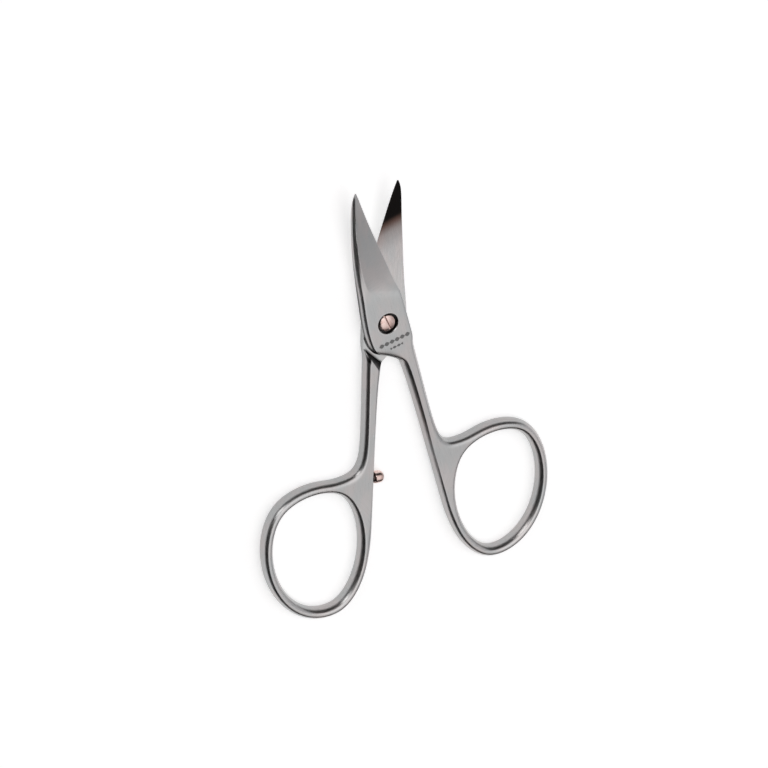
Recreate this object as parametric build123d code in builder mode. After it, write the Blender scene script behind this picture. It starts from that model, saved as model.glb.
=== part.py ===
from build123d import *
import os
from math import cos, radians, sin, sqrt, tan

# Small finger-ring snips with bowed blades. Lengths are millimetres and angles are degrees.
# The snips lie on their back face: blades along +Y, finger rings along -Y, pivot axis on +Z.
# The origin is on the pivot axis, in the plane of the back faces.
# Each half is drawn closed, with its handle on +X, and is turned open at the end.

# ---- overall sizes ----
blade_reach = 29.5        # pivot axis to blade tip
ring_distance = 45.5      # pivot axis to the level of the ring centres
plate = 1.6               # thickness of each half where the two lap
opening = 17.0            # angle between the halves as they rest
overtravel = 0.7          # how far past their drawn closed place the halves can turn
lap_gap = 0.04            # clearance between the two lapped faces

# ---- blades ----
tip_rise = 3.3            # how far the bow lifts the tips
flat_reach = 6.5          # radius around the pivot where the lapped faces are flat
spine_out = 4.7           # pivot axis to the back of the blade
edge_out = 4.2            # pivot axis to the handle side of the ricasso
spine_land = 0.9          # flat left beside the back by the grinding
edge_thickness = 0.15     # thickness left at the cutting edge
tip_thickness = 0.75      # thickness of the back at the tip
grind_start = 5.6         # pivot axis to the start of the grinding
grind_runout = 1.3        # length over which the grinding reaches its depth

# ---- tang and shank ----
tang_drop = 5.4           # pivot axis to the lower corner of the tang
shoulder_out = 6.55       # pivot axis to the shoulder line, square to it
shoulder_turn = 43.0      # slope of the shoulder line
shoulder_slope = 27.0     # lean of the shoulder's face
shank_inner = 1.35        # closing line to the shank's inner wall
shank_width = 2.7
shank_round = 0.6         # rounding of the shank's long edges
crotch_round = 2.6        # inside radius between shank and ring

# ---- finger rings ----
ring_side = 12.8          # closing line to the ring's centre
ring_radius = 12.2        # mean radius of the ring's centreline
ring_stretch = 1.66       # half the difference between its length and width
ring_lean = 10.6          # lean of the long way of the ring
ring_egg = 0.36           # how much wider the far end is
ring_egg_turn = 15.2
ring_square = 0.2         # how much fuller its four corners are
ring_square_turn = 40.0
ring_width = 2.3          # section of the ring, across

# ---- pivot screw ----
head_radius = 1.6
head_height = 0.7
head_dome = 0.25
recess_radius = 2.03
recess_depth = 1.0
neck_radius = 1.1
running_gap = 0.03        # radial clearance of the front half on the screw
thread_radius = 0.95
slot_width = 0.35
slot_depth = 0.35
slot_turn = 17.0

# ---- stop peg ----
peg_distance = 32.5       # pivot axis to the peg
peg_radius = 1.22
peg_dome = 0.9            # rounding of its end
peg_neck_radius = 0.85
peg_neck = 0.35           # bare neck between the shank and the head
peg_depth = 1.5           # length pressed into the shank
stop_gap = 0.09           # left between the peg and the other shank when closed

thickness = 2 * plate
half_width = ring_width / 2
bow_span = blade_reach - flat_reach
bow_radius = (bow_span**2 + tip_rise**2) / (2 * tip_rise)
stock_reach = blade_reach + 3     # the bowed stock is cut a little past the tip
above = thickness + tip_rise + 4  # clear of everything the snips have


def lap_height(r):
    # height of the lapped faces at radius r: flat, then an arc
    run = max(r - flat_reach, 0)
    return plate + bow_radius - sqrt(bow_radius**2 - run**2)


def ring_reach(turn):
    # distance from the ring's centre to the tangent square to this direction
    oval = -ring_stretch * cos(radians(2 * (turn + ring_lean)))
    egg = ring_egg * cos(radians(3 * (turn - ring_egg_turn)))
    square = ring_square * cos(radians(4 * (turn - ring_square_turn)))
    return ring_radius + oval + egg + square


def ring_point(turn, out):
    step = 0.01
    swing = (ring_reach(turn + step) - ring_reach(turn - step)) / radians(2 * step)
    reach = ring_reach(turn) + out
    x = ring_side + reach * cos(radians(turn)) - swing * sin(radians(turn))
    y = -ring_distance + reach * sin(radians(turn)) + swing * cos(radians(turn))
    return (x, y)


def ring_outline(out):
    # smooth closed egg, out from the ring's centreline
    with BuildLine() as line:
        Spline([ring_point(turn, out) for turn in range(0, 360, 20)], periodic=True)
    return line.line


def inner_wall(y):
    # straight inner side of the shank, down to where the ring takes over
    upper = (shank_inner, -0.4 * ring_distance)
    lower = ring_point(180, half_width)
    share = (y - upper[1]) / (lower[1] - upper[1])
    return upper[0] + share * (lower[0] - upper[0])


def blade_outline(side):
    # tang, ricasso and blade in plan, with the cutting edge on the handle side
    with BuildSketch() as sketch:
        with BuildLine():
            tip = (0, blade_reach)
            spine_top = (-spine_out * 0.2, blade_reach * 0.943)
            spine_foot = (-spine_out, 0)
            heel = (edge_out, flat_reach * 0.66)
            foot = (edge_out, -2 * tang_drop)
            inside = (shank_inner - 0.25, -2.1 * tang_drop)
            corner = (-0.2 * spine_out, -1.3 * tang_drop)
            tang = (-0.8 * spine_out, -tang_drop)
            Spline(
                [spine_foot, (-spine_out * 0.757, blade_reach * 0.356),
                 (-spine_out * 0.425, blade_reach * 0.739), spine_top])
            Line(spine_top, tip)
            Spline([tip, (edge_out * 0.36, blade_reach * 0.722),
                    (edge_out * 0.86, blade_reach * 0.32), heel])
            Polyline(heel, foot, inside)
            Spline([inside, (shank_inner - 0.5, -1.78 * tang_drop), corner],
                   tangents=[(0, 1), (-1, 0.75)])
            Line(corner, tang)
            Spline([tang, spine_foot], tangents=[(-0.8, 1), (0.05, 1)])
        make_face()
        if side < 0:
            mirror(about=Plane.YZ, mode=Mode.REPLACE)
    return sketch.sketch


def bowed_stock(side):
    # round dish on one side of the lapped surface, thinner towards the tips
    mid_r = (flat_reach + stock_reach) / 2
    mid_depth = (plate + tip_thickness) / 2
    face_depth = plate - lap_gap / 2

    def at(r, depth):
        return (r, lap_height(r) + side * (lap_gap / 2 + depth))

    with BuildPart() as dish:
        with BuildSketch(Plane.XZ):
            with BuildLine():
                Line(at(0, 0), at(flat_reach, 0))
                ThreePointArc(at(flat_reach, 0), at(mid_r, 0), at(stock_reach, 0))
                Line(at(stock_reach, 0), at(stock_reach, tip_thickness))
                ThreePointArc(at(stock_reach, tip_thickness), at(mid_r, mid_depth),
                              at(flat_reach, face_depth - lap_gap / 2))
                Polyline(at(flat_reach, face_depth - lap_gap / 2),
                         at(0, face_depth - lap_gap / 2), at(0, 0))
            make_face()
        revolve(axis=Axis.Z)
    return dish.part


def grinding(side):
    # wedge ground off the outer face: deepest at the cutting edge, none at the land
    overrun = 2.5

    def back(y):
        return -spine_out * (1 - 0.62 * (y / blade_reach)**2) + spine_land * (1.1 - y / blade_reach)

    def edge(y):
        return edge_out * (1 - (y / blade_reach)**1.6)

    def depth(y):
        reach = min(max((y - flat_reach) / bow_span, 0), 1)
        return plate - (plate - tip_thickness) * reach

    def section(y, full):
        thin = depth(y) - (depth(y) - edge_thickness) * full
        slope = (depth(y) - thin) / (edge(y) - back(y))
        height = lap_height(y)
        low = height + side * (thin - slope * overrun)
        high = height + side * (depth(y) + 0.02)
        top = height + side * (depth(y) + above)
        far = edge(y) + overrun
        points = [(back(y), high), (far, low), (far, top), (back(y), top)]
        mirrored = [(side * x, z) for x, z in points]
        with BuildSketch(Plane(origin=(0, y, 0), x_dir=(1, 0, 0), z_dir=(0, -1, 0))) as sketch:
            with BuildLine():
                Polyline(*mirrored, close=True)
            make_face()
        return sketch.sketch

    first = grind_start + grind_runout
    ends = [first + (blade_reach - 0.6 - first) * k / 3 for k in range(4)]
    with BuildPart() as wedge:
        loft([section(grind_start, 0), section(first, 1)], ruled=True)
        loft([section(y, 1) for y in ends])
        loft([section(ends[-1], 1), section(blade_reach + 1, 1)], ruled=True)
    return wedge.part


def handle(side):
    # shank and finger ring in one forging, rounded all round
    with BuildPart() as bow:
        with BuildSketch() as plan:
            make_face(ring_outline(half_width))
            with BuildLine():
                top = -tang_drop * 0.4
                neck = (shank_inner + shank_width, -ring_distance * 0.85)
                head = (edge_out - 0.1, top)
                foot = (shank_inner + shank_width, -ring_distance * 0.5)
                Polyline((inner_wall(top), top), ring_point(180, half_width),
                         neck, foot, head, close=True)
            make_face()
            make_face(ring_outline(-half_width), mode=Mode.SUBTRACT)
            ring_top = -ring_distance + ring_radius
            crotch = plan.vertices().sort_by_distance((shank_inner + shank_width, ring_top))[0]
            fillet(crotch, crotch_round)
            if side < 0:
                mirror(about=Plane.YZ, mode=Mode.REPLACE)
        extrude(amount=thickness)
        rims = bow.faces().filter_by(Axis.Z).edges()
        fillet(rims, shank_round)
    return bow.part


def lap_room(side):
    # what the shank leaves for the other half: past the lap, as far as the sloped shoulder
    lap = plate + side * lap_gap / 2
    outer = plate - side * (plate + 1)
    lean = (plate + 1) * tan(radians(shoulder_slope))
    across = Vector(side * sin(radians(90 - shoulder_turn)), -cos(radians(90 - shoulder_turn)), 0)
    upright = Plane(origin=(0, 0, 0), x_dir=across, z_dir=across.cross(Vector(0, 0, 1)))
    with BuildPart() as room:
        with BuildSketch(upright):
            with BuildLine():
                Polyline((-ring_distance, lap), (shoulder_out, lap),
                         (shoulder_out + lean, outer), (-ring_distance, outer), close=True)
            make_face()
        extrude(amount=ring_distance, both=True)
    return room.part


def forging(side):
    # one whole half, closed: blade, ricasso and tang lapped on the pivot, then shank and ring
    with BuildPart() as half:
        with BuildSketch():
            add(blade_outline(side))
        extrude(amount=above)
        add(bowed_stock(side), mode=Mode.INTERSECT)
        add(grinding(side), mode=Mode.SUBTRACT)
        with BuildPart(mode=Mode.PRIVATE) as grip:
            add(handle(side))
            add(lap_room(side), mode=Mode.SUBTRACT)
        add(grip.part)
    return half.part


# ---- front half: takes the screw head in a round recess ----
with BuildPart() as closed_front:
    add(forging(1))
    with Locations((0, 0, thickness)):
        CounterBoreHole(neck_radius + running_gap, recess_radius, recess_depth)

with BuildPart() as front_half:
    add(closed_front.part.rotate(Axis.Z, opening / 2))

# ---- rear half: tapped for the screw and bored for the stop peg ----
peg_root = inner_wall(-peg_distance)
peg_wall = Plane(origin=(-peg_root, -peg_distance, plate), x_dir=(0, 1, 0), z_dir=(1, 0, 0))
with BuildPart() as closed_rear:
    add(forging(-1))
    with Locations((0, 0, plate)):
        Hole(thread_radius)
    with BuildSketch(peg_wall.offset(-peg_depth)):
        Circle(peg_neck_radius)
    extrude(amount=peg_depth + 1, mode=Mode.SUBTRACT)

with BuildPart() as rear_half:
    add(closed_rear.part.rotate(Axis.Z, -opening / 2))

# ---- pivot screw: slotted head, plain neck in the front half, thread in the rear half ----
seat = thickness - recess_depth + lap_gap / 2
head_edge = seat + head_height
with BuildPart() as pivot_screw:
    with BuildSketch(Plane.XZ):
        with BuildLine():
            Polyline((0, 0), (thread_radius, 0), (thread_radius, plate - lap_gap / 2),
                     (neck_radius, plate - lap_gap / 2), (neck_radius, seat),
                     (head_radius, seat), (head_radius, head_edge))
            ThreePointArc((head_radius, head_edge),
                          (head_radius / 2, head_edge + head_dome * 0.76),
                          (0, head_edge + head_dome))
            Line((0, head_edge + head_dome), (0, 0))
        make_face()
    revolve(axis=Axis.Z)
    slot_floor = Plane.XY.offset(head_edge + head_dome - slot_depth).rotated((0, 0, slot_turn))
    with BuildSketch(slot_floor):
        Rectangle(slot_width, 3 * head_radius)
    extrude(amount=slot_depth + 1, mode=Mode.SUBTRACT)

# ---- stop peg: pressed into the rear shank, domed where it meets the front one ----
with BuildPart() as closed_peg:
    with BuildSketch(peg_wall.offset(-peg_depth)):
        Circle(peg_neck_radius)
    extrude(amount=peg_depth + peg_neck)
    peg_reach = 2 * peg_root - peg_distance * sin(radians(overtravel)) - stop_gap
    with BuildSketch(peg_wall.offset(peg_neck)):
        Circle(peg_radius)
    extrude(amount=peg_reach - peg_neck)
    fillet(closed_peg.faces().sort_by(Axis.X)[-1].edges(), peg_dome)

with BuildPart() as stop_peg:
    add(closed_peg.part.rotate(Axis.Z, -opening / 2))

os.makedirs("parts", exist_ok=True)
front_half.part.label = "front_half"
rear_half.part.label = "rear_half"
pivot_screw.part.label = "pivot_screw"
stop_peg.part.label = "stop_peg"
for piece in (front_half, rear_half, pivot_screw, stop_peg):
    name = piece.part.label
    box = piece.part.bounding_box()
    export_step(piece.part, f"parts/{name}.step")
    print(name, "volume", round(piece.part.volume, 1), "size", box.size, "valid", piece.part.is_valid)
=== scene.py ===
# %% [markdown]
# # Ring-handled thread snips
#
# The snips are four real pieces: two steel forgings that cross at a pivot, the slotted
# screw that holds them together, and a small peg that stops the handles as they close.
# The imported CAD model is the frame: it says where the pivot is, how large everything is
# and how the halves turn. Blender makes what the eye meets: the forgings' soft edges and
# blends, the ground blade faces, and the finish of the steel.

# %% Load the frame
from math import cos, exp, hypot, pi, radians, sin, sqrt

import bmesh
import bpy
from mathutils import Matrix, Vector


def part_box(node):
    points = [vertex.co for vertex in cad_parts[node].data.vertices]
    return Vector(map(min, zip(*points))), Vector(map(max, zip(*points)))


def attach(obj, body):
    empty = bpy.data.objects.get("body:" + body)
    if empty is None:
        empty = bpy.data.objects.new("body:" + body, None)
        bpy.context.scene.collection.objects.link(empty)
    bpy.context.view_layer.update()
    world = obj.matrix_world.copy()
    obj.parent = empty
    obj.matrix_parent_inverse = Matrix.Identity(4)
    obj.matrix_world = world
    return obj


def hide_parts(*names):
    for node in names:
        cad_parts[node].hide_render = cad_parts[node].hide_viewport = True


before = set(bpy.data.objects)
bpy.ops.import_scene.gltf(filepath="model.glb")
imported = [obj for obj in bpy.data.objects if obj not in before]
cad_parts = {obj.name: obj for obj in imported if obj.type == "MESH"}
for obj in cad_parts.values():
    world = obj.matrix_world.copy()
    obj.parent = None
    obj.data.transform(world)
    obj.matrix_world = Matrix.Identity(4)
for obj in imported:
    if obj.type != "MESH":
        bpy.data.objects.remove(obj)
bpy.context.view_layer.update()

# %% [markdown]
# ## Sizes
#
# All shaping is done in millimetres, with the snips closed and one half's handle on +X.
# Each finished half is then turned open and brought to metres. What can be read from the
# frame is read from it, so the drawn shape stays inside the CAD one.

# %% Sizes read from the frame and sizes of the forging
MM = 0.001
opening = 17.0
peg_low, peg_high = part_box("stop_peg")
screw_low, screw_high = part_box("pivot_screw")
plate = (peg_low[2] + peg_high[2]) / 2 / MM
thickness = 2 * plate
head_radius = (screw_high[0] - screw_low[0]) / 2 / MM
blade_reach = 29.5
tip_rise = 3.3
flat_reach = 6.5
bow_span = blade_reach - flat_reach
bow_radius = (bow_span**2 + tip_rise**2) / (2 * tip_rise)
lap_gap = 0.05
print("half thickness", round(plate, 3), "mm, screw head radius", round(head_radius, 3), "mm")


def lap_height(x, y):
    """Height of the lapped faces: flat round the pivot, then a bow about the pivot axis."""
    run = max(hypot(x, y) - flat_reach, 0)
    return plate + bow_radius - sqrt(bow_radius**2 - run**2)


# %% [markdown]
# ## The ring's centreline
#
# A finger ring is an egg, not a circle. An egg is easy to describe by how far its
# outline reaches in each direction: a mean radius, plus a wave that comes round twice
# for its length, one that comes round three times for the blunt end, and a small one
# that comes round four times for full shoulders. Adding a constant to that reach gives
# a curve at an exact distance, which is what the inside and outside of a ring need.

# %% The ring as a reach in every direction
ring_side = 12.8
ring_distance = 45.5
ring_half = 1.15


def ring_reach(turn):
    """Distance from the ring's centre to the line that touches it square to turn."""
    oval = -1.66 * cos(2 * (turn + radians(10.6)))
    egg = 0.36 * cos(3 * (turn - radians(15.2)))
    shoulders = 0.2 * cos(4 * (turn - radians(40)))
    return 12.2 + oval + egg + shoulders


def ring_point(degrees, out):
    """Point of the ring, out millimetres outside its centreline."""
    turn = radians(degrees)
    step = 0.001
    swing = (ring_reach(turn + step) - ring_reach(turn - step)) / (2 * step)
    reach = ring_reach(turn) + out
    x = ring_side + reach * cos(turn) - swing * sin(turn)
    y = -ring_distance + reach * sin(turn) + swing * cos(turn)
    return Vector((x, y))


print("ring from", ring_point(270, ring_half), "to", ring_point(90, ring_half))

# %% [markdown]
# ## One forging as a cage
#
# A forging has no seams: the blade, the shank and the ring flow into each other. A
# boolean of separate solids would leave a hard line at every join. A low cage of quads
# with a subdivision surface gives one continuous skin instead. The cage is drawn in
# plan first. Its rows run from the tip down the blade and the shank and end on the
# ring, which is a band of its own, and each row has the same columns.

# %% Plan of the blade: one row per line, from the back to the cutting edge
blade_rows = [
    ((-0.1, 29.4), (0.08, 29.4)),
    ((-0.42, 28.9), (0.2, 28.9)),
    ((-1.02, 27.6), (0.45, 27.6)),
    ((-1.58, 24.8), (0.92, 24.8)),
    ((-2.12, 21.3), (1.5, 21.2)),
    ((-2.72, 17.5), (2.4, 16.4)),
    ((-3.2, 13.8), (3.2, 11.7)),
    ((-3.5, 11.0), (3.68, 8.2)),
    ((-3.66, 9.6), (3.9, 6.3)),
    ((-3.78, 8.5), (4.04, 5.2)),
    ((-3.86, 7.7), (4.12, 4.4)),
    ((-4.06, 5.9), (4.2, 2.7)),
]
columns = 9
shank_columns = 5
split = columns - shank_columns
tang_row = [(-4.02, -5.2), (-3.1, -5.85), (-2.0, -6.6), (-0.8, -7.5), (0.35, -8.6)]
shoulder_end = (4.2, -5.05)
back_line = [(-4.46, 2.9), (-4.7, -0.2), (-4.66, -2.7), (-4.42, -4.3)]


def mix(a, b, share):
    return a + (b - a) * share


def clamp(value):
    return min(max(value, 0.0), 1.0)


def blade_row(back, edge):
    """Points of one row across the blade; the first gap is the land beside the back."""
    back = Vector(back)
    edge = Vector(edge)
    land = 0.5 + 1.6 * exp((8 - back.y) / 4.5)
    land = min(land, 1.9, 0.3 * (edge - back).length)
    inner = back + (edge - back).normalized() * land
    return [back] + [inner.lerp(edge, k / (columns - 1)) for k in range(columns)]


plan_rows = [blade_row(*row) for row in blade_rows]
last_blade = len(plan_rows) - 1
shoulder_row = [Vector(point) for point in tang_row]
for k in range(1, shank_columns + 1):
    shoulder_row.append(shoulder_row[split].lerp(Vector(shoulder_end), k / shank_columns))
steps = len(back_line) + 1
for step in range(1, steps):
    share = step / steps
    row = [a.lerp(b, share**1.3) for a, b in zip(plan_rows[last_blade], shoulder_row)]
    shift = Vector(back_line[step - 1]) - row[0]
    row = [point + shift * max(1 - i / 3, 0) for i, point in enumerate(row)]
    plan_rows.append(row)
plan_rows.append(shoulder_row)
plate_last = len(plan_rows) - 1
print(len(plan_rows), "rows from the tip to the shoulder")

# %% Plan of the shank, down to the ring
ring_step = 15
ring_turns = list(range(0, 360, ring_step))
inner_wall = [(0.8, -9.6), (0.99, -11.5), (1.15, -14), (1.27, -18.5), (1.35, -24), (1.38, -29),
              (1.38, -33.5), (1.38, -38), (1.38, -42.3)]
outer_wall = [(4.19, -6.4), (4.17, -8.5), (4.14, -11.4), (4.08, -16), (4.03, -21.5), (4.08, -26.4),
              (4.6, -29.0), (5.6, -30.4), (7.0, -31.0)]
ring_end = [ring_point(180 - ring_step * k, ring_half) for k in range(shank_columns + 1)]
shank_rows = []
count = len(inner_wall)
for j, (left, right) in enumerate(zip(inner_wall, outer_wall)):
    share = ((j + 1) / (count + 1)) ** 2
    left = Vector(left)
    right = Vector(right)
    row = []
    for k in range(shank_columns + 1):
        across = k / shank_columns
        top = plan_rows[plate_last][split + k] - plan_rows[plate_last][split].lerp(
            plan_rows[plate_last][columns], across)
        bend = ring_end[k] - ring_end[0].lerp(ring_end[-1], across)
        row.append(left.lerp(right, across) + top * (1 - share) + bend * share)
    shank_rows.append(row)
print("ring end", [tuple(round(v, 2) for v in p) for p in ring_end])

# %% [markdown]
# ## From plan to cage
#
# Every plan point gets a top and a bottom corner. Along the outline there are two more
# points on the wall between them, and how far the corners are pulled in from the
# outline decides how round the edge is: a lot on the finger ring and both sides of the
# shank, less along the blade's back, and nothing on the cutting edge.

# %% Heights of the two faces
edge_thickness = 0.14
tip_thickness = 0.75
grind_line = 6.6
grind_lean = 0.42
grind_run = 1.8


def stock_depth(y):
    """Thickness of the blade at its back."""
    share = clamp((y - flat_reach) / bow_span)
    taper = mix(plate, tip_thickness, share)
    return taper * (1 - 0.8 * max((y - 26) / 3.4, 0) ** 1.5)


def past_grind_line(x, y):
    """How far a point lies past the slanting line where the grinding starts."""
    return y + grind_lean * x - grind_line


def outer_depth(i, point, row):
    """Thickness of the plate at column i, with the grinding taken off."""
    full = stock_depth(point.y)
    past = past_grind_line(point.x, point.y)
    if i == 0:
        return full - 0.16 * clamp(past / 3)
    if i == 1 or past <= 0:
        return full
    across = (point.x - row[1].x) / (row[columns].x - row[1].x)
    ground = min(past / (grind_run * (1 + 0.9 * across)), 1)
    return full - (full - edge_thickness) * across * ground


class Cage:
    """Collects vertices, faces and creases of one half, in millimetres, closed."""

    def __init__(self, side):
        self.side = side
        self.points = []
        self.faces = []
        self.creases = {}

    def add(self, x, y, z):
        self.points.append((x, y, z))
        return len(self.points) - 1

    def quad(self, *corners):
        self.faces.append(corners)

    def crease(self, chain, weight):
        for a, b in zip(chain, chain[1:]):
            self.creases[tuple(sorted((a, b)))] = weight


def inward(loop, k):
    """Unit direction from an outline point into the material, on its left."""
    before = loop[k - 1]
    after = loop[(k + 1) % len(loop)]
    along = after - before
    if along.length < 1e-6:
        return Vector((0, -1))
    return Vector((-along.y, along.x)).normalized()


# %% Edge styles: pull-in and fall of the outer corner, then of the corner on the lap side
STYLES = {
    "back": (0.55, 0.6, 0.0, 0.2),
    "tang": (0.5, 0.55, 0.0, 0.12),
    "cheek": (0.12, 0.18, 0.0, 0.12),
    "edge": (0.0, 0.04, 0.0, 0.04),
    "inner": (0.8, 0.95, 0.6, 0.7),
    "outer": (0.74, 0.86, 0.7, 0.8),
    "ring": (0.66, 0.84, 0.66, 0.84),
    "hole": (0.7, 0.92, 0.7, 0.92),
}
LEVELS = 3


def style_at(zone, y):
    """Edge style of a zone; the shank's turns into the ring's on the way down."""
    if zone in ("inner", "outer"):
        share = clamp((-27 - y) / 12)
        return [mix(a, b, share) for a, b in zip(STYLES[zone], STYLES["ring"])]
    if zone == "back":
        share = clamp((y - 22) / 7)
        return [mix(a, b, share) for a, b in zip(STYLES["back"], (0.12, 0.1, 0.0, 0.1))]
    return list(STYLES[zone])


def forging_cage(side):
    """Whole cage of one half, closed: side 1 is the front half and -1 the rear one."""
    cage = Cage(side)
    outer_z = plate + side * plate
    under_z = plate - side * plate

    def plate_level(i, point, row):
        base = lap_height(point.x, point.y)
        return base + side * outer_depth(i, point, row), base + side * lap_gap / 2

    # the outline, as (plan point, zone, key of the grid vertex), material on its left
    outline = [(row[0], "back", ("plate", j, 0)) for j, row in enumerate(plan_rows)]
    outline += [(plan_rows[-1][i], "tang", ("plate", plate_last, i)) for i in range(1, split + 1)]
    outline += [(row[0], "inner", ("shank", s, 0)) for s, row in enumerate(shank_rows)]
    around = [(180 + ring_step * k) % 360 for k in range(len(ring_turns) - shank_columns + 1)]
    outline += [(ring_point(turn, ring_half), "ring", ("ring", turn, 0)) for turn in around]
    outline += [
        (shank_rows[s][-1], "outer", ("shank", s, shank_columns))
        for s in reversed(range(len(shank_rows)))]
    for j in reversed(range(len(plan_rows))):
        end = plan_rows[j][columns]
        zone = "edge" if past_grind_line(end.x, end.y) > 0.2 else "cheek"
        outline.append((plan_rows[j][columns], zone, ("plate", j, columns)))
    outline += [
        (plan_rows[0][i], "edge", ("plate", 0, i)) for i in reversed(range(1, columns))]
    hole = [
        (ring_point(turn, -ring_half), "hole", ("ring", turn, 2)) for turn in reversed(ring_turns)]

    # plan places of the whole grid, before the corners are pulled in
    places = {}
    for j, row in enumerate(plan_rows):
        for i, point in enumerate(row):
            places["plate", j, i] = point, plate_level(i, point, row)
    for s, row in enumerate(shank_rows):
        for k, point in enumerate(row):
            places["shank", s, k] = point, (outer_z, under_z)
    for turn in ring_turns:
        for across, out in enumerate((ring_half, 0, -ring_half)):
            places["ring", turn, across] = ring_point(turn, out), (outer_z, under_z)

    # walls and pulled-in corners
    corner = {}
    walls = []
    for loop in (outline, hole):
        ring_of_walls = []
        plan_loop = [item[0] for item in loop]
        for k, (point, zone, key) in enumerate(loop):
            pull, fall, pull_under, rise = style_at(zone, point.y)
            if key[0] == "plate" and key[1] == 0:
                pull = 0
                fall = 0.04
            into = inward(plan_loop, k)
            top, bottom = places[key][1]
            room = abs(top - bottom)
            fall = min(fall, room * 0.4)
            rise = min(rise, room * 0.3)
            corner[key] = (point + into * pull, point + into * pull_under)
            upper = cage.add(side * point.x, point.y, top - side * fall)
            lower = cage.add(side * point.x, point.y, bottom + side * rise)
            ring_of_walls.append((key, upper, lower))
        walls.append(ring_of_walls)

    # the shank's inner columns share the pull of its two edges, so that no quad folds over
    for s in range(len(shank_rows)):
        ends = [
            [moved - places[key][0] for moved in corner[key]]
            for key in (("shank", s, 0), ("shank", s, shank_columns))]
        for k in range(1, shank_columns):
            point = places["shank", s, k][0]
            corner["shank", s, k] = [
                point + a.lerp(b, k / shank_columns) for a, b in zip(*ends)]

    top_id = {}
    under_id = {}
    for key, (point, (top, bottom)) in places.items():
        outer_point, under_point = corner.get(key, (point, point))
        top_id[key] = cage.add(side * outer_point.x, outer_point.y, top)
        under_id[key] = cage.add(side * under_point.x, under_point.y, bottom)

    # faces: outer side as listed, lap side turned over
    def sheet_of_quads(keys):
        cage.quad(*[top_id[key] for key in keys])
        cage.quad(*[under_id[key] for key in reversed(keys)])

    def grid(name, rows, cols):
        for j in range(rows):
            for i in range(cols):
                sheet_of_quads([(name, j, i), (name, j + 1, i),
                                (name, j + 1, i + 1), (name, j, i + 1)])

    grid("plate", plate_last, columns)
    grid("shank", len(shank_rows) - 1, shank_columns)
    for k in range(shank_columns):
        sheet_of_quads([("plate", plate_last, split + k), ("shank", 0, k),
                        ("shank", 0, k + 1), ("plate", plate_last, split + k + 1)])
        turn = 180 - ring_step * k
        end = len(shank_rows) - 1
        sheet_of_quads([("shank", end, k), ("ring", turn, 0),
                        ("ring", turn - ring_step, 0), ("shank", end, k + 1)])
    for turn in ring_turns:
        after = (turn + ring_step) % 360
        for across in range(2):
            sheet_of_quads([("ring", turn, across), ("ring", after, across),
                            ("ring", after, across + 1), ("ring", turn, across + 1)])
    for ring_of_walls in walls:
        for (key_a, up_a, low_a), (key_b, up_b, low_b) in zip(
                ring_of_walls, ring_of_walls[1:] + ring_of_walls[:1]):
            cage.quad(up_a, up_b, top_id[key_b], top_id[key_a])
            cage.quad(low_a, low_b, up_b, up_a)
            cage.quad(under_id[key_a], under_id[key_b], low_b, low_a)

    # crisp lines: cutting edge, border of the lapped face, land, grinding and shoulder
    ground = [j for j, row in enumerate(plan_rows)
              if past_grind_line(row[columns].x, row[columns].y) > -0.3]
    cage.crease([top_id["plate", j, columns] for j in ground], 1.0)
    cage.crease([top_id["plate", j, 1] for j in ground], 0.75)
    cage.crease([top_id["plate", ground[-1], i] for i in range(1, columns + 1)], 0.4)
    cage.crease([top_id["plate", j, 0] for j in range(len(plan_rows))], 0.35)
    border = [under_id[key] for _, _, key in outline if key[0] == "plate"]
    cage.crease(border, 1.0)
    foot = [under_id["plate", plate_last, i] for i in range(split, columns + 1)]
    cage.crease(foot, 0.9)
    cage.crease([under_id["shank", 0, k] for k in range(shank_columns + 1)], 0.7)
    return cage


def skin(cage, name):
    """Turn a cage into an object with its subdivision surface applied."""
    mesh = bpy.data.meshes.new(name + "_cage")
    mesh.from_pydata(cage.points, [], cage.faces)
    weights = mesh.attributes.new("crease_edge", "FLOAT", "EDGE")
    for edge in mesh.edges:
        key = tuple(sorted(edge.vertices))
        weights.data[edge.index].value = cage.creases.get(key, 0)
    piece = bpy.data.objects.new(name, mesh)
    bpy.context.scene.collection.objects.link(piece)
    smooth = piece.modifiers.new("Subdivision", "SUBSURF")
    smooth.levels = LEVELS
    smooth.render_levels = LEVELS
    apply_modifiers(piece)
    return piece


def apply_modifiers(piece):
    """Replace the object's mesh with what its modifiers make of it."""
    graph = bpy.context.evaluated_depsgraph_get()
    finished = bpy.data.meshes.new_from_object(piece.evaluated_get(graph), depsgraph=graph)
    piece.modifiers.clear()
    piece.data = finished
    finished.name = piece.name


shoulder_way = (0.682, -0.731)
lap_end = 6.6


def toward_shoulder(x, y, side):
    """Distance from the pivot, measured square to the line of the shoulder."""
    return shoulder_way[0] * side * x + shoulder_way[1] * y


def settle_lap_face(piece, side):
    """Lay the lapped face exactly on its bowed surface, so that the halves can't touch."""
    moved = 0
    for vertex in piece.data.vertices:
        x, y, z = vertex.co
        base = lap_height(x, y) + side * lap_gap / 2
        before_shoulder = toward_shoulder(x, y, side) < lap_end
        if before_shoulder and side * (z - base) < 0.06:
            vertex.co.z = base
            moved += 1
    return moved


front_half = skin(forging_cage(1), "front_forging")
rear_half = skin(forging_cage(-1), "rear_forging")
for piece, side in ((front_half, 1), (rear_half, -1)):
    moved = settle_lap_face(piece, side)
    print(piece.name, len(piece.data.vertices), "points,", moved, "settled on the lapped face")

# %% [markdown]
# ## Shader maths in Python
#
# A finish is mostly arithmetic: a mask times a noise plus a base value. Written as
# nodes one by one it is hard to read. A small class that wraps a socket and answers to
# +, -, * and / lets the same arithmetic be written as a line of Python, and adds the
# Math nodes by itself.

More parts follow.
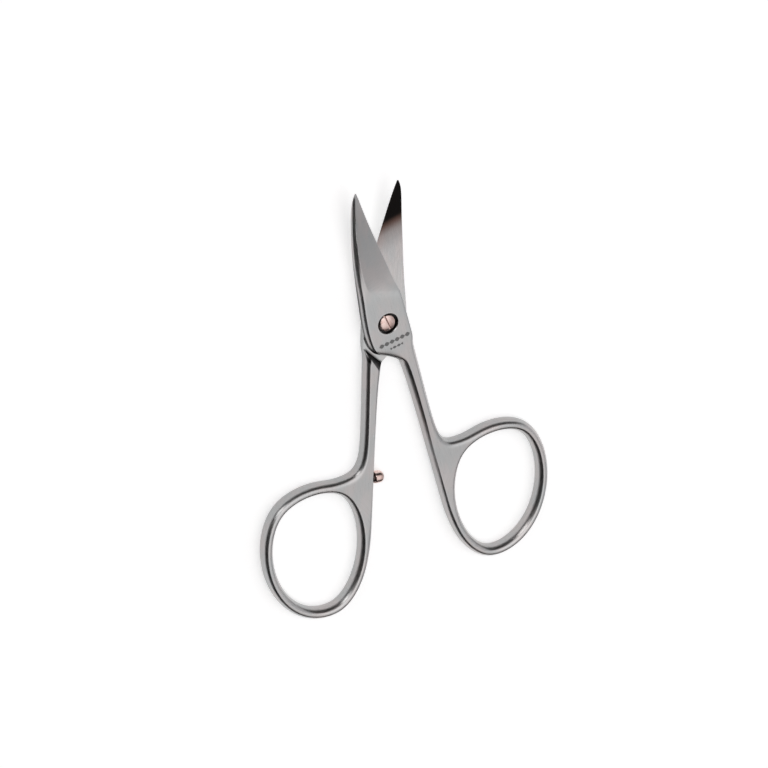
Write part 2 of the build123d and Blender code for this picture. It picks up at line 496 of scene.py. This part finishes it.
# %% A socket that takes part in expressions
class Wire:
    """A node tree's socket. Sums of wires and numbers add Math nodes to the tree."""

    def __init__(self, tree, socket=None):
        self.tree = tree
        self.socket = socket

    def node(self, kind, settings=None, values=None, output=0):
        """Add a node: its settings first, then a value or a link for each socket."""
        made = self.tree.nodes.new(kind)
        for name, value in (settings or {}).items():
            if name == "stops":
                ramp = made.color_ramp.elements
                while len(ramp) < len(value):
                    ramp.new(0.5)
                for stop, (place, colour) in zip(ramp, value):
                    stop.position = place
                    stop.color = (*colour, 1)
            else:
                setattr(made, name, value)
        for name, value in (values or {}).items():
            if isinstance(value, Wire):
                self.tree.links.new(value.socket, made.inputs[name])
            else:
                made.inputs[name].default_value = value
        return Wire(self.tree, made.outputs[output])

    def sum_of(self, operation, first, second=0.0):
        return self.node("ShaderNodeMath", {"operation": operation}, {0: first, 1: second})

    def __add__(self, other):
        return self.sum_of("ADD", self, other)

    def __sub__(self, other):
        return self.sum_of("SUBTRACT", self, other)

    def __rsub__(self, other):
        return self.sum_of("SUBTRACT", other, self)

    def __mul__(self, other):
        return self.sum_of("MULTIPLY", self, other)

    def __truediv__(self, other):
        return self.sum_of("DIVIDE", self, other)

    __radd__ = __add__
    __rmul__ = __mul__

    def ease(self, low, high, out_low=0.0, out_high=1.0):
        """Smooth step from out_low to out_high as the wire goes from low to high."""
        return self.node(
            "ShaderNodeMapRange", {"interpolation_type": "SMOOTHSTEP"},
            {"Value": self, "From Min": low, "From Max": high, "To Min": out_low,
             "To Max": out_high})

    def blend(self, colour_a, colour_b):
        """Colour between two colours, by this wire."""
        return self.node(
            "ShaderNodeMix", {"data_type": "RGBA"}, {0: self, 6: colour_a, 7: colour_b}, 2)

    def axes(self):
        """The three parts of a vector wire."""
        first = self.node("ShaderNodeSeparateXYZ", None, {0: self})
        return [Wire(self.tree, part) for part in first.socket.node.outputs]

    def stretched(self, x, y, z):
        """A vector wire with each axis multiplied."""
        return self.node(
            "ShaderNodeVectorMath", {"operation": "MULTIPLY"}, {0: self, 1: (x, y, z)})

    def noise(self, scale, detail=2.0, rough=0.5):
        """Noise from 0 to 1 at a vector wire."""
        return self.node(
            "ShaderNodeTexNoise", None,
            {"Vector": self, "Scale": scale, "Detail": detail, "Roughness": rough})


def join(start, x, y, z):
    """Vector wire from three parts."""
    return start.node("ShaderNodeCombineXYZ", None, {0: x, 1: y, 2: z})


# %% [markdown]
# ## What the shader needs to know
#
# The finish changes over a forging: the blade's face is ground across, the lapped face
# is polished, the handles are tumbled to a satin. The mesh carries that as attributes.
# `place` keeps each point's position on the closed tool in millimetres, so a grain can
# follow the metal however the tool is opened. `ground` and `lapped` mark the worked
# faces, and `rub` marks convex edges, which hands and cloth polish first. Two more marks
# are painted shade: one darkens the upright sides, the steeper the darker, and the other
# darkens the corners between the halves, where shade falls.

# %% Attributes on the forgings
shoulder_start = 6.55


def note_places(piece):
    """Keep every point's place on the closed tool, before it is turned open."""
    mesh = piece.data
    place = mesh.attributes.new("place", "FLOAT_VECTOR", "POINT")
    for vertex in mesh.vertices:
        place.data[vertex.index].vector = vertex.co


def tang_corner_painted_shade(x, y, upright):
    """Painted shade in the front half's corner, where its tang meets the shank's inner side."""
    painted_shade = clamp((upright - 0.2) / 0.15) * clamp((1.1 - x) / 0.7) * clamp((y + 10) / 1.2)
    return painted_shade * clamp((-4.4 - y) / 0.5)


def wall_foot_painted_shade(x, y, lift, upright):
    """Painted shade on the foot of the front half's wall, beside the lap."""
    painted_shade = clamp((upright - 0.3) / 0.2) * clamp((0.85 - lift) / 0.35) * clamp((15 - y) / 8)
    return painted_shade * (clamp((-x - 0.5) / 0.5) * clamp((y + 8) / 0.5))


def shoulder_step_painted_shade(x, y, lift, facing):
    """Painted shade on the rear half's step, where its shank stops short of the front half."""
    past_step = toward_shoulder(x, y, -1) - shoulder_start
    painted_shade = clamp((past_step + 0.35) / 0.2) * clamp((1.45 - past_step) / 0.25)
    painted_shade *= clamp((facing + 0.99) / 0.02) if past_step > 0.1 else 1.0
    painted_shade *= clamp((3.9 + x) / 0.3) * clamp((0.3 - lift) / 0.25)
    return painted_shade * clamp((0.9 - facing) / 0.1)


def note_faces(piece, side):
    """Mark worked faces and rubbed edges, and paint shade on walls and corners of a closed half.
    """
    mesh = piece.data
    names = ("ground", "lapped", "rub", "wall", "scale")
    for name in names:
        mesh.attributes.new(name, "FLOAT", "POINT")
    ground, lapped, rub, wall, scale = (mesh.attributes[name] for name in names)
    bend = [0.0] * len(mesh.vertices)
    count = [0] * len(mesh.vertices)
    for edge in mesh.edges:
        a, b = (mesh.vertices[k] for k in edge.vertices)
        along = (b.co - a.co)
        if along.length < 0.02:
            continue
        turn = (b.normal - a.normal).dot(along) / along.length_squared
        for vertex in (a, b):
            bend[vertex.index] += turn
            count[vertex.index] += 1
    for vertex in mesh.vertices:
        x, y, z = vertex.co
        lift = side * (z - lap_height(x, y))
        facing = side * vertex.normal.z
        worked = (past_grind_line(side * x, y) > -0.2 and lift < stock_depth(y) - 0.02
                  and facing > 0.55)
        ground.data[vertex.index].value = 1.0 if worked else 0.0
        on_lap = facing < -0.8 and abs(lift - lap_gap / 2) < 0.02
        lapped.data[vertex.index].value = 1.0 if on_lap else 0.0
        sharp = bend[vertex.index] / max(count[vertex.index], 1)
        rub.data[vertex.index].value = clamp(sharp / 1.6)
        # painted shade on the upright sides: the steeper the side, the darker
        upright = 1 - abs(vertex.normal.z)
        wall.data[vertex.index].value = clamp((upright - 0.25) / 0.5)
        # painted shade for the corners between the halves: the front half's tang corner and wall
        # foot, the rear half's shoulder step
        if side > 0:
            painted_shade = max(tang_corner_painted_shade(x, y, upright), wall_foot_painted_shade(x, y, lift, upright))
        else:
            painted_shade = shoulder_step_painted_shade(x, y, lift, facing)
        scale.data[vertex.index].value = painted_shade


# %% [markdown]
# ## Satin steel
#
# Stainless snips are tumbled and brushed, not chromed: the surface is a mirror broken
# up by fine scratches. Three things carry that look. Roughness sets how far reflections
# blur, a bump of streaks makes them follow the way the wheel ran, and a faint warm and
# cool drift in the colour keeps large faces from looking like one flat tone. The
# streaks run along the blade and shank, across the ground face and round the rings.

# %% Steel of the forgings
def marks_of(start, across, along):
    """Generic etched ornament: a chain of small leaves with a shorter one under it."""
    def chain(middle_x, middle_y, reach, height, pitch):
        wave = start.sum_of("ABSOLUTE", start.sum_of("SINE", (across - middle_x) * (pi / pitch)))
        leaf = wave * height - start.sum_of("ABSOLUTE", along - middle_y)
        inside = reach - start.sum_of("ABSOLUTE", across - middle_x)
        return leaf.ease(-0.03, 0.03) * inside.ease(-0.02, 0.02)
    return chain(0.35, -3.95, 3.3, 0.42, 1.1) + chain(0.45, -5.3, 1.35, 0.26, 0.9)


def forged_steel(name, etched):
    material = bpy.data.materials.new(name)
    material.use_nodes = True
    tree = material.node_tree
    shader = tree.nodes["Principled BSDF"]
    start = Wire(tree)
    place = start.node("ShaderNodeAttribute", {"attribute_name": "place"}, None, "Vector")
    ground = start.node("ShaderNodeAttribute", {"attribute_name": "ground"}, None, "Fac")
    lapped = start.node("ShaderNodeAttribute", {"attribute_name": "lapped"}, None, "Fac")
    rub = start.node("ShaderNodeAttribute", {"attribute_name": "rub"}, None, "Fac")
    # the next two attributes carry painted shade: the upright sides and the corners between the
    # halves
    wall = start.node("ShaderNodeAttribute", {"attribute_name": "wall"}, None, "Fac")
    scale = start.node("ShaderNodeAttribute", {"attribute_name": "scale"}, None, "Fac")
    x, y, z = place.axes()

    # the way the wheel ran: along the blade and shank, round the ring, across the grinding
    width = start.sum_of("ABSOLUTE", x)
    from_side = width - ring_side
    from_level = y + ring_distance
    turn = start.sum_of("ARCTAN2", from_level, from_side)
    radius = start.sum_of("SQRT", from_side * from_side + from_level * from_level)
    on_ring = y.ease(-33.0, -38.0)
    brushed = join(start, x, y * 0.06, z).noise(7.0, 3.0, 0.6)
    ringed = join(start, radius, turn * 0.7, z).noise(7.0, 3.0, 0.6)
    cross = join(start, x * 0.08 + y * 0.02, y - x * 0.12, z * 0.2).noise(9.0, 3.0, 0.6)
    streaks = brushed * (1 - on_ring) + ringed * on_ring
    streaks = streaks * (1 - ground) + cross * ground
    pits = place.noise(9.0, 2.0, 0.55)
    fine = place.noise(26.0, 2.0, 0.6)
    drift = place.stretched(1, 0.45, 1).noise(0.32, 3.0, 0.55)
    marks = marks_of(start, x, y) * z.ease(thickness - 0.1, thickness - 0.03) if etched else 0.0

    tone = drift.ease(0.35, 0.68)
    cool = (0.56, 0.57, 0.572, 1)
    warm = (0.62, 0.588, 0.582, 1)
    base = tone.blend(cool, warm)
    shade = 0.9 + (streaks - 0.5) * 0.26 + (fine - 0.5) * 0.22 + rub * 0.08
    # painted shade darkens the upright sides and nearly blackens the corners between the halves
    shade = shade * (1 - wall * 0.26) * (1 - scale * 0.93) * (1 + on_ring * 0.06)
    if etched:
        shade = shade * (1 - marks * 0.55)
        # painted shade in the screw's recess, round its head
        span = start.sum_of("SQRT", x * x + y * y)
        recess_painted_shade = span.ease(2.12, 1.95) * z.ease(thickness - 0.02, thickness - 0.3)
        shade = shade * (1 - recess_painted_shade * 0.93)
    level = start.node("ShaderNodeCombineColor", None, {0: shade, 1: shade, 2: shade})
    base = start.node(
        "ShaderNodeMix", {"data_type": "RGBA", "blend_type": "MULTIPLY"},
        {0: 1.0, 6: base, 7: level}, 2)
    satin = 0.31 + (streaks - 0.5) * 0.14 + (pits - 0.5) * 0.1 - rub * 0.05 + ground * 0.05
    mirror = 0.035 + (fine - 0.5) * 0.02
    rough = satin * (1 - lapped) + mirror * lapped
    if etched:
        rough = rough + marks * 0.25
    height = (streaks * 0.7 + pits * 0.3 + fine * 0.2) * (1 - lapped * 0.93)
    if etched:
        height = height - marks * 2.0
    bump = start.node(
        "ShaderNodeBump", None, {"Strength": 0.35, "Distance": 0.00002, "Height": height})
    shader.inputs["Metallic"].default_value = 1.0
    tree.links.new(base.socket, shader.inputs["Base Color"])
    tree.links.new(rough.socket, shader.inputs["Roughness"])
    tree.links.new(bump.socket, shader.inputs["Normal"])
    return material


# %% [markdown]
# ## Warm metal of the screw and the peg
#
# The two small fittings are a rosier metal than the forgings. They are turned, so their
# fine lines run round their own axis.

# %% Rose metal
def turned_metal(name, centre, axis):
    material = bpy.data.materials.new(name)
    material.use_nodes = True
    tree = material.node_tree
    shader = tree.nodes["Principled BSDF"]
    start = Wire(tree)
    place = start.node("ShaderNodeAttribute", {"attribute_name": "place"}, None, "Vector")
    local = start.node("ShaderNodeVectorMath", {"operation": "SUBTRACT"}, {0: place, 1: centre})
    parts = local.axes()
    run = parts.pop(axis)
    radius = start.sum_of("SQRT", parts[0] * parts[0] + parts[1] * parts[1])
    turn = start.sum_of("ARCTAN2", parts[0], parts[1])
    lines = join(start, radius, turn * 0.2, run).noise(9.0, 2.0, 0.6)
    fine = local.noise(18.0, 2.0, 0.6)
    tone = local.noise(1.4, 2.0, 0.5).ease(0.3, 0.7)
    base = tone.blend((0.76, 0.55, 0.5, 1), (0.88, 0.7, 0.65, 1))
    # painted shade in the groove at the peg's root
    neck_painted_shade = radius.ease(neck_radius + 0.12, neck_radius + 0.02) if axis == 0 else 0.0
    shade = (0.94 + (lines - 0.5) * 0.2 + (fine - 0.5) * 0.12) * (1 - neck_painted_shade * 0.9)
    level = start.node("ShaderNodeCombineColor", None, {0: shade, 1: shade, 2: shade})
    base = start.node(
        "ShaderNodeMix", {"data_type": "RGBA", "blend_type": "MULTIPLY"},
        {0: 1.0, 6: base, 7: level}, 2)
    rough = 0.27 + (lines - 0.5) * 0.16 + (fine - 0.5) * 0.06
    bump = start.node(
        "ShaderNodeBump", None,
        {"Strength": 0.3, "Distance": 0.00001, "Height": lines + fine * 0.4})
    shader.inputs["Metallic"].default_value = 1.0
    tree.links.new(base.socket, shader.inputs["Base Color"])
    tree.links.new(rough.socket, shader.inputs["Roughness"])
    tree.links.new(bump.socket, shader.inputs["Normal"])
    return material


# %% [markdown]
# ## Turned parts
#
# The screw, its recess and the peg are turned on a lathe, so each one is a profile spun
# round an axis. The same helper also makes the cutters for the recess and the bores.

# %% Lathe, cutter and placing helpers
def lathe(name, profile, segments=96):
    """Closed solid of revolution about Z; the profile runs from the axis to the axis."""
    points = []
    faces = []
    rings = []
    for radius, height in profile:
        if radius < 1e-6:
            rings.append([len(points)] * segments)
            points.append((0, 0, height))
            continue
        rings.append(list(range(len(points), len(points) + segments)))
        for k in range(segments):
            turn = 2 * pi * k / segments
            points.append((radius * cos(turn), radius * sin(turn), height))
    for low, high in zip(rings, rings[1:]):
        for k in range(segments):
            after = (k + 1) % segments
            corners = [low[k], low[after], high[after], high[k]]
            faces.append([c for n, c in enumerate(corners) if c not in corners[:n]])
    mesh = bpy.data.meshes.new(name)
    mesh.from_pydata(points, [], faces)
    piece = bpy.data.objects.new(name, mesh)
    bpy.context.scene.collection.objects.link(piece)
    return piece


def cut(piece, cutter):
    """Take the cutter out of the piece, then throw the cutter away."""
    boolean = piece.modifiers.new("Cut", "BOOLEAN")
    boolean.operation = "DIFFERENCE"
    boolean.solver = "EXACT"
    boolean.object = cutter
    apply_modifiers(piece)
    bpy.data.objects.remove(cutter)


def finish_mesh(piece, turn=0.0):
    """Turn a closed-frame piece open, bring it to metres and shade it smooth."""
    note_places(piece)
    piece.data.transform(Matrix.Scale(MM, 4) @ Matrix.Rotation(radians(turn), 4, "Z"))
    for face in piece.data.polygons:
        face.use_smooth = True
    piece.data.set_sharp_from_angle(angle=radians(32))
    piece.data.update()


# %% [markdown]
# ## Recess and bores
#
# The screw's head lies in a round recess with a small bevel at its rim, and its neck
# passes through a bore a little wider than itself. Cutting them last, with a boolean on
# the finished skin, keeps their edges crisp beside the soft ones of the forging.

# %% Recess and bores
recess_radius = 2.03
recess_floor = thickness - 1.0
bore_radius = 1.13
thread_radius = 0.95
rim = 0.1
cut(front_half, lathe("recess_cutter", [
    (0, recess_floor), (recess_radius, recess_floor), (recess_radius, thickness - rim),
    (recess_radius + 2 * rim, thickness + rim), (recess_radius + 2 * rim, thickness + 1),
    (0, thickness + 1)]))
cut(front_half, lathe("bore_cutter", [
    (0, plate - 1), (bore_radius, plate - 1), (bore_radius, recess_floor + 0.5),
    (0, recess_floor + 0.5)]))
cut(rear_half, lathe("thread_cutter", [
    (0, -1), (thread_radius + 0.3, -1), (thread_radius + 0.3, -0.05), (thread_radius + 0.02, 0.2),
    (thread_radius + 0.02, plate + 1), (0, plate + 1)]))
print("recess", 2 * recess_radius, "mm across, floor at", round(recess_floor, 2), "mm")

# %% [markdown]
# ## Pivot screw
#
# A thread, a plain neck that the front half turns on, and a slightly domed head are one
# profile on the lathe. The slot is sawn across the head afterwards.

# %% Pivot screw
head_floor = recess_floor + 0.02
head_side = 0.6
dome = 0.3
seat = plate - 0.03
arc = [
    (head_radius * cos(turn), head_floor + head_side + 0.06 + dome * sin(turn))
    for turn in [radians(90) * k / 14 for k in range(1, 15)]]
pivot_screw = lathe("pivot_screw_turned", [
    (0, 0.02), (thread_radius - 0.18, 0.02), (thread_radius, 0.2), (thread_radius, seat),
    (bore_radius - 0.04, seat), (bore_radius - 0.04, head_floor),
    (head_radius - 0.05, head_floor), (head_radius, head_floor + 0.05),
    (head_radius, head_floor + head_side)] + arc)
slot_turn = radians(17)
slot_floor = head_floor + head_side + dome - 0.45
slot_half = 0.19
slot_mesh = bpy.data.meshes.new("slot_cutter")
slot_form = bmesh.new()
slot_profile = [(-slot_half, 4), (-slot_half, slot_floor + 0.05), (-slot_half + 0.06, slot_floor),
                (slot_half - 0.06, slot_floor), (slot_half, slot_floor + 0.05), (slot_half, 4)]
slot_ends = [[slot_form.verts.new((x, y, z)) for x, z in slot_profile] for y in (-2.5, 2.5)]
slot_form.faces.new(slot_ends[0])
slot_form.faces.new(reversed(slot_ends[1]))
for k in range(len(slot_profile)):
    after = (k + 1) % len(slot_profile)
    slot_form.faces.new([slot_ends[0][after], slot_ends[0][k],
                         slot_ends[1][k], slot_ends[1][after]])
bmesh.ops.recalc_face_normals(slot_form, faces=slot_form.faces)
slot_form.to_mesh(slot_mesh)
slot_cutter = bpy.data.objects.new("slot_cutter", slot_mesh)
bpy.context.scene.collection.objects.link(slot_cutter)
slot_mesh.transform(Matrix.Rotation(slot_turn, 4, "Z"))
cut(pivot_screw, slot_cutter)
print("screw", len(pivot_screw.data.vertices), "points, slot", 2 * slot_half, "mm wide")

# %% [markdown]
# ## Stop peg
#
# The peg is turned along Z like the screw, then laid over so that it points out of the
# rear shank's inner side. Its free end is rounded, as it meets the other shank.

# %% Stop peg
peg_radius = 1.2
peg_distance = 32.5
peg_root = 1.37
peg_tip = 2.25 - peg_root
peg_dome = 0.9
neck_radius = 0.85
peg_arc = [
    (peg_radius - peg_dome + peg_dome * cos(turn), peg_tip - peg_dome + peg_dome * sin(turn))
    for turn in [radians(90) * k / 12 for k in range(13)]]
stop_peg = lathe("stop_peg_turned", [
    (0, -peg_root - 1.0), (neck_radius, -peg_root - 1.0), (neck_radius, -peg_root + 0.32),
    (peg_radius - 0.06, -peg_root + 0.32), (peg_radius, -peg_root + 0.4)]
    + peg_arc + [(0, peg_tip)], 64)
along_x = Matrix.Rotation(radians(90), 4, "Y")
stop_peg.data.transform(Matrix.Translation((0, -peg_distance, plate)) @ along_x)

# %% [markdown]
# ## Turned open and put on their bodies
#
# The marks are made while the tool is still closed, then each half is turned open by
# half the opening. The screw and the peg stay with the rear half, so they ride on it.

# %% Open the halves and ride them
note_faces(front_half, 1)
note_faces(rear_half, -1)
for piece, turn in ((front_half, opening / 2), (rear_half, -opening / 2), (pivot_screw, 0),
                    (stop_peg, -opening / 2)):
    finish_mesh(piece, turn)
    low = [min(v.co[k] for v in piece.data.vertices) for k in range(3)]
    high = [max(v.co[k] for v in piece.data.vertices) for k in range(3)]
    print(piece.name, [round(v * 1000, 2) for v in low], [round(v * 1000, 2) for v in high])

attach(front_half, "front")
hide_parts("front_half")
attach(rear_half, "rear")
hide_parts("rear_half")
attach(pivot_screw, "rear")
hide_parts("pivot_screw")
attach(stop_peg, "rear")
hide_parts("stop_peg")

# %% [markdown]
# ## Floor and finishes
#
# The floor is only a stage, so it doesn't count as part of the object. It glows a
# little, which keeps the ground pale and lights the undersides of the rings.

# %% Floor and finishes
floor_mesh = bpy.data.meshes.new("floor")
half = 1.2
floor_mesh.from_pydata(
    [(-half, -half, 0), (half, -half, 0), (half, half, 0), (-half, half, 0)], [], [(0, 1, 2, 3)])
floor = bpy.data.objects.new("floor", floor_mesh)
bpy.context.scene.collection.objects.link(floor)

finishes = {
    front_half: forged_steel("satin_steel_etched", True),
    rear_half: forged_steel("satin_steel", False),
    pivot_screw: turned_metal("rose_metal_screw", (0, 0, 0), 2),
    stop_peg: turned_metal("rose_metal_peg", (0, -peg_distance, plate), 0),
}
for piece, finish in finishes.items():
    piece.data.materials.clear()
    piece.data.materials.append(finish)

paper = bpy.data.materials.new("pale_floor")
paper.use_nodes = True
paper_shader = paper.node_tree.nodes["Principled BSDF"]
paper_shader.inputs["Base Color"].default_value = (0.9, 0.9, 0.9, 1)
paper_shader.inputs["Roughness"].default_value = 0.9
paper_shader.inputs["Specular IOR Level"].default_value = 0.0
paper_shader.inputs["Emission Color"].default_value = (1, 1, 1, 1)
paper_shader.inputs["Emission Strength"].default_value = 0.5
floor_mesh.materials.append(paper)
print(len(finishes), "finishes given to", len(finishes), "pieces")

# %% [markdown]
# ## Studio
#
# Polished metal shows nothing but its surroundings, so the surroundings are what gets
# drawn. A bright soft dome overhead lights the faces, a dark band above the horizon
# gives every rounded edge its dark line, the pale floor lights the walls from below,
# and one brighter panel breaks the band and puts a highlight on the rings. A black flag
# stands on the left and a grey fill on the right, so the two sides of the tool mirror
# different things and don't look alike.

# %% Surroundings
world = bpy.data.worlds.new("studio")
world.use_nodes = True
sky = Wire(world.node_tree)
way = sky.node("ShaderNodeTexCoord", None, None, "Generated")
up_part = way.axes()[2]
panel_way = Vector((-0.54, 0.59, 0.5)).normalized()
to_panel = sky.node(
    "ShaderNodeVectorMath", {"operation": "DOT_PRODUCT"}, {0: way, 1: panel_way}, "Value")
panel = to_panel.ease(cos(radians(17)), cos(radians(9)))
dome = up_part.node("ShaderNodeValToRGB", {"stops": [
    (0.0, (0.5, 0.5, 0.5)), (0.46, (0.03, 0.03, 0.03)), (0.52, (0.012, 0.012, 0.012)),
    (0.809, (0.014, 0.012, 0.012)), (0.818, (0.2, 0.12, 0.1)), (0.832, (0.55, 0.49, 0.48)),
    (0.86, (0.84, 0.82, 0.82)), (0.9, (0.95, 0.95, 0.95)), (1.0, (1.3, 1.28, 1.28))]},
    {"Fac": up_part * 0.5 + 0.5})
flag_way = Vector((-0.8, -0.48, 0.36)).normalized()
to_flag = sky.node(
    "ShaderNodeVectorMath", {"operation": "DOT_PRODUCT"}, {0: way, 1: flag_way}, "Value")
flag = to_flag.ease(cos(radians(53)), cos(radians(43))) * up_part.ease(-0.05, 0.05)
dome = flag.blend(dome, (0.012, 0.012, 0.012, 1))
lit = panel.blend(dome, (2.2, 2.2, 2.2, 1))
fill_way = Vector((0.88, -0.2, 0.43)).normalized()
to_fill = sky.node(
    "ShaderNodeVectorMath", {"operation": "DOT_PRODUCT"}, {0: way, 1: fill_way}, "Value")
fill = to_fill.ease(cos(radians(38)), cos(radians(25)))
lit = fill.blend(lit, (0.58, 0.58, 0.59, 1))
seen = sky.node("ShaderNodeLightPath", None, None, "Is Camera Ray")
lit = seen.blend(lit, (1, 1, 1, 1))
background = world.node_tree.nodes["Background"]
world.node_tree.links.new(lit.socket, background.inputs["Color"])
background.inputs["Strength"].default_value = 1.0
bpy.context.scene.world = world
bpy.context.scene.view_settings.view_transform = "Standard"
print("surroundings drawn with", len(world.node_tree.nodes), "nodes")

# %% [markdown]
# ## Camera
#
# A long lens from well above flattens the tool and keeps its outline true. The camera is
# given by where it stands, what it aims at and which way its top points.

# %% Camera
camera_data = bpy.data.cameras.new("camera")
camera_data.lens = 167.5
camera_data.sensor_width = 36
camera = bpy.data.objects.new("camera", camera_data)
bpy.context.scene.collection.objects.link(camera)
stand = Vector((-0.2390, 0.3170, 0.5312))
aim = Vector((-0.0008, -0.0141, 0))
picture_top = Vector((sin(radians(6.39)), cos(radians(6.39)), 0))
back = (stand - aim).normalized()
right = picture_top.cross(back).normalized()
up = back.cross(right)
camera.matrix_world = Matrix.Translation(stand) @ Matrix((right, up, back)).transposed().to_4x4()
bpy.context.scene.camera = camera
